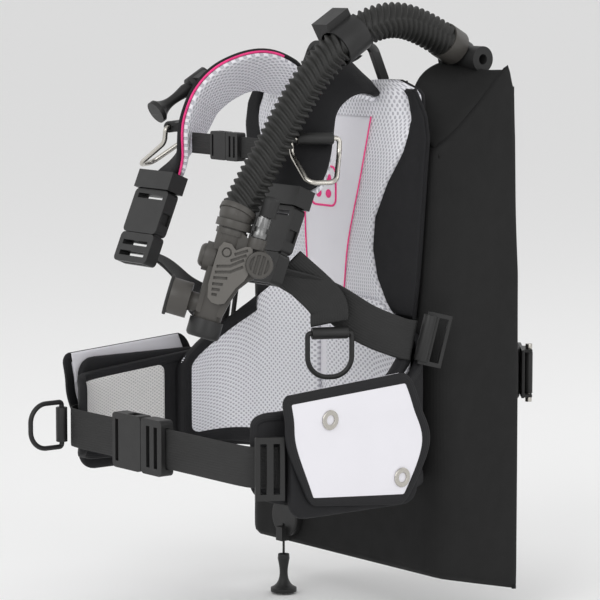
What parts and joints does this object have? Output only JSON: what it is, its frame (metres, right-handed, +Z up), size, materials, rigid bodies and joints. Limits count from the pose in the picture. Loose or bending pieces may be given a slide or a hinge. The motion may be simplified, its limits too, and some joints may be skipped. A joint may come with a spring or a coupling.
{
  "type": "buoyancy compensator vest",
  "caption": "Back-inflation diving buoyancy vest with padded harness, air cell, corrugated hose and inflator, waist pockets, buckles and tank band.",
  "frame": {"origin": "centre of the tank band, on the axis of the tank that it clamps", "axes": "+Z up along the tank, -Y towards the diver and the front of the vest, +X the diver's left"},
  "size_m": [0.3588, 0.4822, 0.5917],
  "materials": {
    "black_nylon": "matte woven nylon with a coated back",
    "white_mesh": "matte open-hole spacer mesh",
    "white_fabric": "smooth matte coated fabric",
    "webbing": "ribbed woven strap",
    "moulded_plastic": "satin moulded",
    "soft_rubber": "matte",
    "steel": "polished nickel"
  },
  "bodies": {
    "vest": {"back_pad": "white_mesh", "backplate": "moulded_plastic", "bottom_dump_valve": "moulded_plastic", "cam_buckle_frame": "moulded_plastic", "cam_buckle_pin": "steel", "carry_handle": "webbing", "chest_socket": "moulded_plastic", "chest_webbing": "webbing", "connector_cap": "soft_rubber", "elbow": "moulded_plastic", "exhaust_valve": "moulded_plastic", "hose": "soft_rubber", "hose_collars": "moulded_plastic", "hose_retainer": "webbing", "inflator_body": "moulded_plastic", "inflator_cover": "moulded_plastic", "left_cummerbund": "white_mesh", "left_pocket": "black_nylon", "left_shoulder_socket": "moulded_plastic", "left_shoulder_strap": "white_mesh", "lower_webbing": "webbing", "mouthpiece_barrel": "moulded_plastic", "mouthpiece_bite": "soft_rubber", "quick_connector": "steel", "right_cummerbund": "white_mesh", "right_pocket": "black_nylon", "right_shoulder_socket": "moulded_plastic", "right_shoulder_strap": "white_mesh", "ring_keepers": "webbing", "ring_webbing": "webbing", "shoulder_dump_valve": "moulded_plastic", "side_panels": "black_nylon", "strap_cuffs": "webbing", "tank_band": "webbing", "tank_grip_pads": "soft_rubber", "waist_ladder_lock": "moulded_plastic", "waist_socket": "moulded_plastic", "waist_webbing": "webbing", "webbing_rollers": "moulded_plastic", "wing": "black_nylon", "yoke": "black_nylon"},
    "cam_lever": {"cam_buckle_lever": "moulded_plastic", "cam_buckle_bail": "steel"},
    "inflate_button": {"inflate_button": "moulded_plastic"},
    "deflate_button": {"deflate_button": "moulded_plastic"},
    "left_shoulder_plug": {"left_shoulder_plug": "moulded_plastic"},
    "right_shoulder_plug": {"right_shoulder_plug": "moulded_plastic"},
    "waist_plug": {"waist_plug": "moulded_plastic"},
    "chest_plug": {"chest_plug": "moulded_plastic"},
    "left_shoulder_ring": {"left_shoulder_ring": "steel"},
    "right_shoulder_ring": {"right_shoulder_ring": "steel"},
    "lower_ring": {"lower_ring": "moulded_plastic"},
    "hip_ring": {"hip_ring": "moulded_plastic"},
    "left_flap": {"left_flap": "white_fabric", "left_grommets": "steel"},
    "right_flap": {"right_flap": "white_fabric", "right_grommets": "steel"},
    "shoulder_dump_pull": {"shoulder_dump_knob": "moulded_plastic"},
    "bottom_dump_pull": {"bottom_dump_knob": "moulded_plastic", "bottom_dump_cord": "webbing"}
  },
  "joints": [
    {"name": "cam_lever_open", "type": "hinge", "parent": "vest", "child": "cam_lever", "pos_m": [0.07644, 0.07023, 0], "axis": [0, 0, -1], "range_deg": [0, 110]},
    {"name": "inflate_press", "type": "slide", "parent": "vest", "child": "inflate_button", "axis": [0.6183, 0.7367, -0.2739], "range_m": [0, 0.003], "stiffness_N_per_m": 400, "springref_m": -0.002},
    {"name": "deflate_press", "type": "slide", "parent": "vest", "child": "deflate_button", "axis": [0.0776, 0.2897, 0.954], "range_m": [0, 0.003], "stiffness_N_per_m": 400, "springref_m": -0.002},
    {"name": "left_shoulder_release", "type": "slide", "parent": "vest", "child": "left_shoulder_plug", "axis": [0, -0.3903, -0.9207], "range_m": [0, 0.026]},
    {"name": "right_shoulder_release", "type": "slide", "parent": "vest", "child": "right_shoulder_plug", "axis": [0, -0.3903, -0.9207], "range_m": [0, 0.026]},
    {"name": "waist_release", "type": "slide", "parent": "vest", "child": "waist_plug", "axis": [1, 0, 0], "range_m": [0, 0.028]},
    {"name": "chest_release", "type": "slide", "parent": "vest", "child": "chest_plug", "axis": [1, 0, 0], "range_m": [0, 0.016]},
    {"name": "left_shoulder_ring_swing", "type": "hinge", "parent": "vest", "child": "left_shoulder_ring", "pos_m": [0.109, -0.226, 0.248], "axis": [0.46, 0.8879, 0], "range_deg": [-15, 0]},
    {"name": "right_shoulder_ring_swing", "type": "hinge", "parent": "vest", "child": "right_shoulder_ring", "pos_m": [-0.109, -0.226, 0.248], "axis": [0.46, -0.8879, 0], "range_deg": [-60, 0]},
    {"name": "lower_ring_swing", "type": "hinge", "parent": "vest", "child": "lower_ring", "pos_m": [0.127, -0.223, 0.069], "axis": [0.4231, 0.9061, 0], "range_deg": [-85, 0]},
    {"name": "hip_ring_swing", "type": "hinge", "parent": "vest", "child": "hip_ring", "pos_m": [-0.153, -0.334, -0.041], "axis": [0, 0, 1], "range_deg": [-75, 70]},
    {"name": "left_flap_lift", "type": "hinge", "parent": "vest", "child": "left_flap", "pos_m": [0.163, -0.23, 0.0255], "axis": [0, -1, 0], "range_deg": [0, 150]},
    {"name": "right_flap_lift", "type": "hinge", "parent": "vest", "child": "right_flap", "pos_m": [-0.163, -0.23, 0.0255], "axis": [0, 1, 0], "range_deg": [0, 150]},
    {"name": "shoulder_dump", "type": "slide", "parent": "vest", "child": "shoulder_dump_pull", "axis": [-0.08, -0.8503, -0.5202], "range_m": [0, 0.012], "stiffness_N_per_m": 250, "springref_m": -0.006},
    {"name": "bottom_dump", "type": "slide", "parent": "vest", "child": "bottom_dump_pull", "axis": [0, 0, -1], "range_m": [0, 0.012], "stiffness_N_per_m": 250, "springref_m": -0.006}
  ]
}
